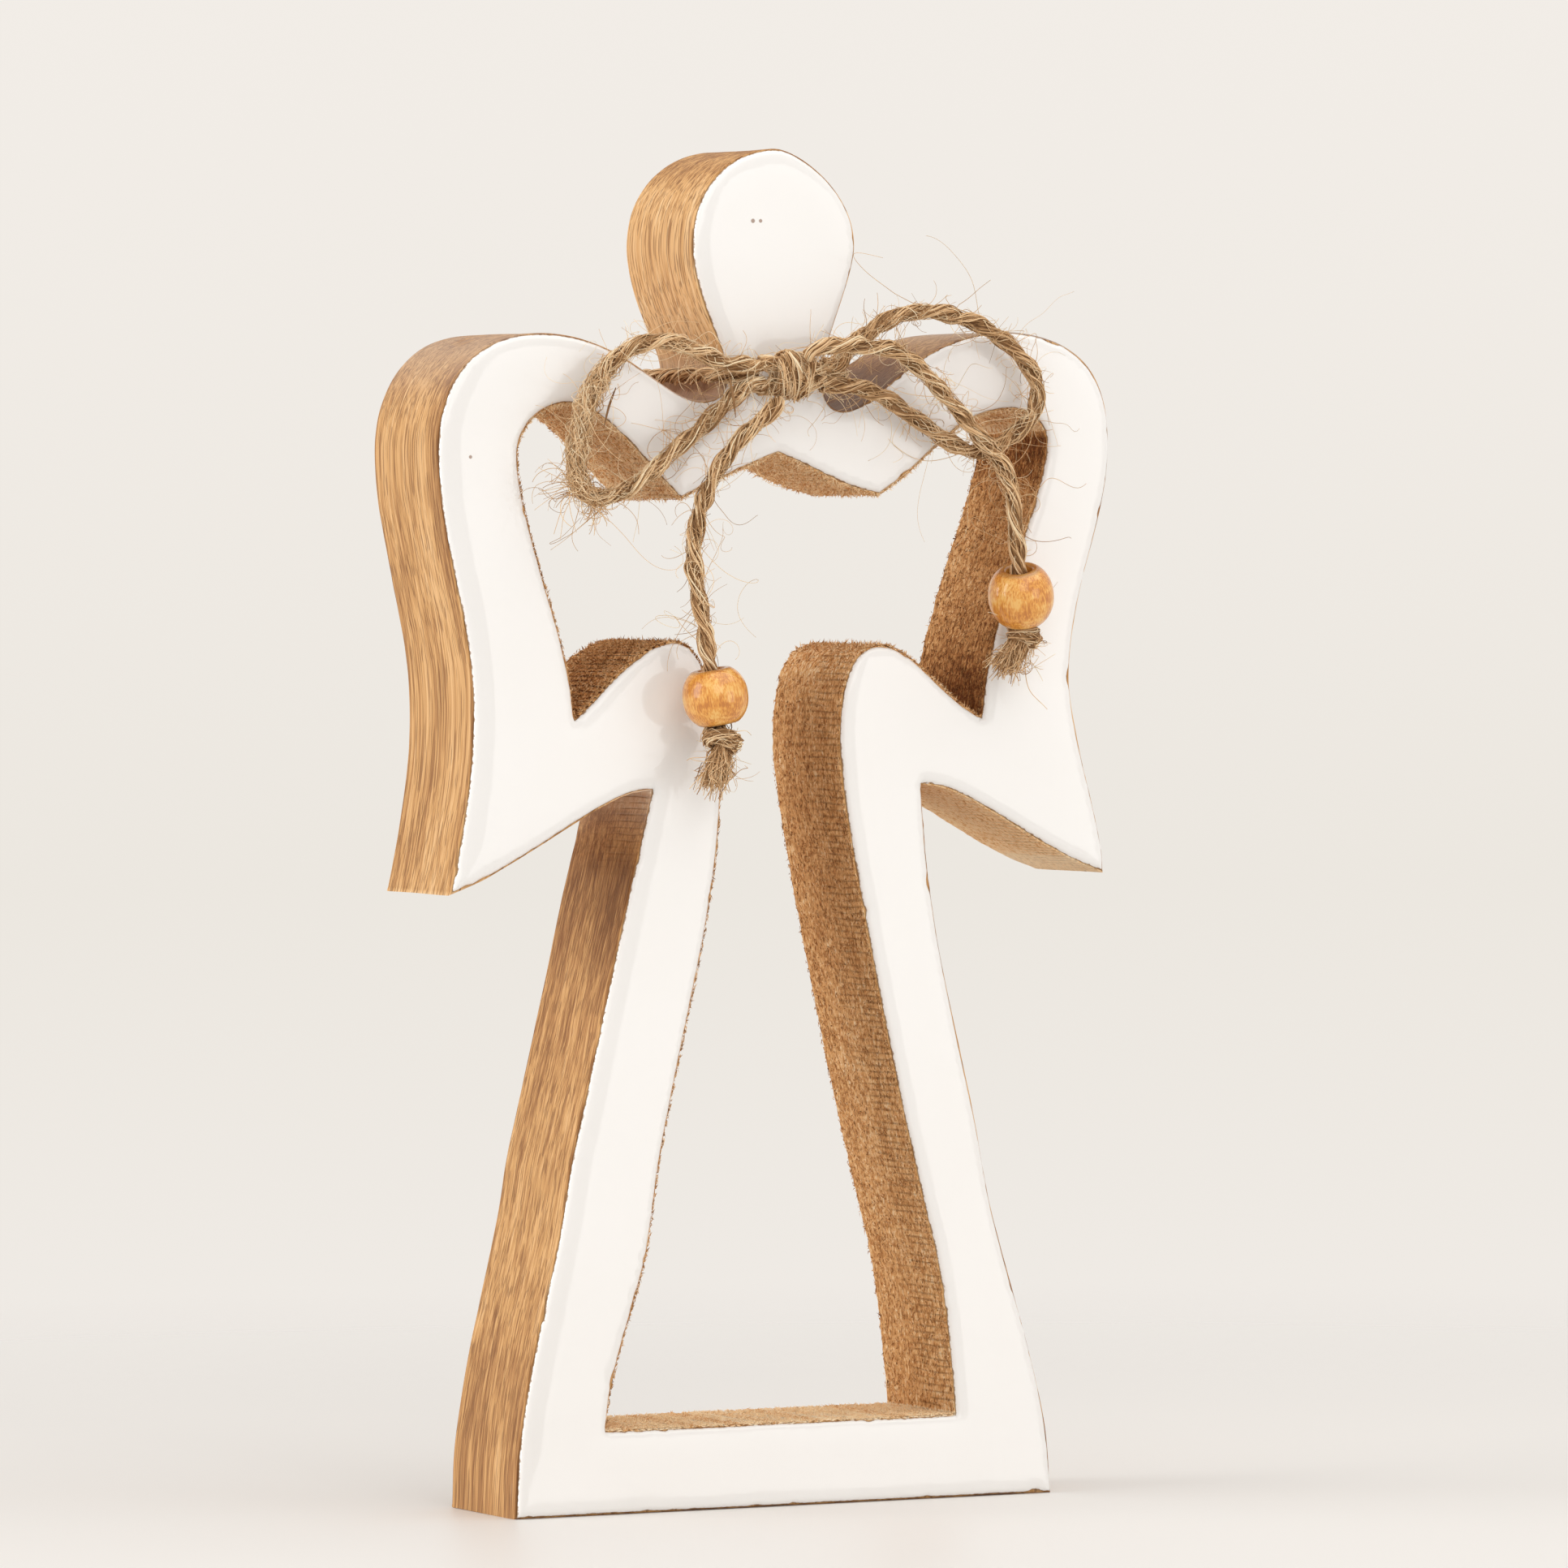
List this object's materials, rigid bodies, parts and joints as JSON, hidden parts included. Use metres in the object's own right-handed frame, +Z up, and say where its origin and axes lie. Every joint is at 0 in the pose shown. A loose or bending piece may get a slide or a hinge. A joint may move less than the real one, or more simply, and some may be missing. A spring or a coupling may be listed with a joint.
{
  "type": "angel figurine",
  "caption": "Standing angel sawn from a thick board, glossy white front and bare wooden edges, with a twine bow at the neck whose hanging tails swing and carry sliding wooden beads.",
  "frame": {"origin": "middle of the base's underside, halfway through the board's thickness", "axes": "+Z up along the figure's height, the painted front faces -Y, +X to the right of someone looking at the front"},
  "size_m": [0.115, 0.0409, 0.2095],
  "materials": {
    "wood": "raw sawn and lightly sanded tan hardwood",
    "enamel": "thick glossy warm white enamel",
    "twine": "hairy twisted jute",
    "bead": "varnished orange wood"
  },
  "bodies": {
    "figure": {"wood_body": "wood", "front_enamel": "enamel", "neck_tie": "twine", "bow_knot": "twine", "bow_loop_left": "twine", "bow_loop_right": "twine", "tail_right_drape": "twine"},
    "left_tail": {"tail_left": "twine", "stop_knot_left": "twine", "frayed_end_left": "twine"},
    "right_tail": {"tail_right_drop": "twine", "stop_knot_right": "twine", "frayed_end_right": "twine"},
    "left_bead": {"bead_left": "bead"},
    "right_bead": {"bead_right": "bead"}
  },
  "joints": [
    {"name": "left_tail_swing", "type": "hinge", "parent": "figure", "child": "left_tail", "pos_m": [-0.0041, -0.01994, 0.17058], "axis": [0, -1, 0], "range_deg": [-25, 25]},
    {"name": "right_tail_swing", "type": "hinge", "parent": "figure", "child": "right_tail", "pos_m": [0.0333, -0.0196, 0.1622], "axis": [0, -1, 0], "range_deg": [-25, 25]},
    {"name": "left_bead_slide", "type": "slide", "parent": "left_tail", "child": "left_bead", "axis": [-0.1701, 0, 0.9854], "range_m": [0, 0.008]},
    {"name": "right_bead_slide", "type": "slide", "parent": "right_tail", "child": "right_bead", "axis": [-0.2203, -0.2904, 0.9312], "range_m": [0, 0.008]}
  ]
}
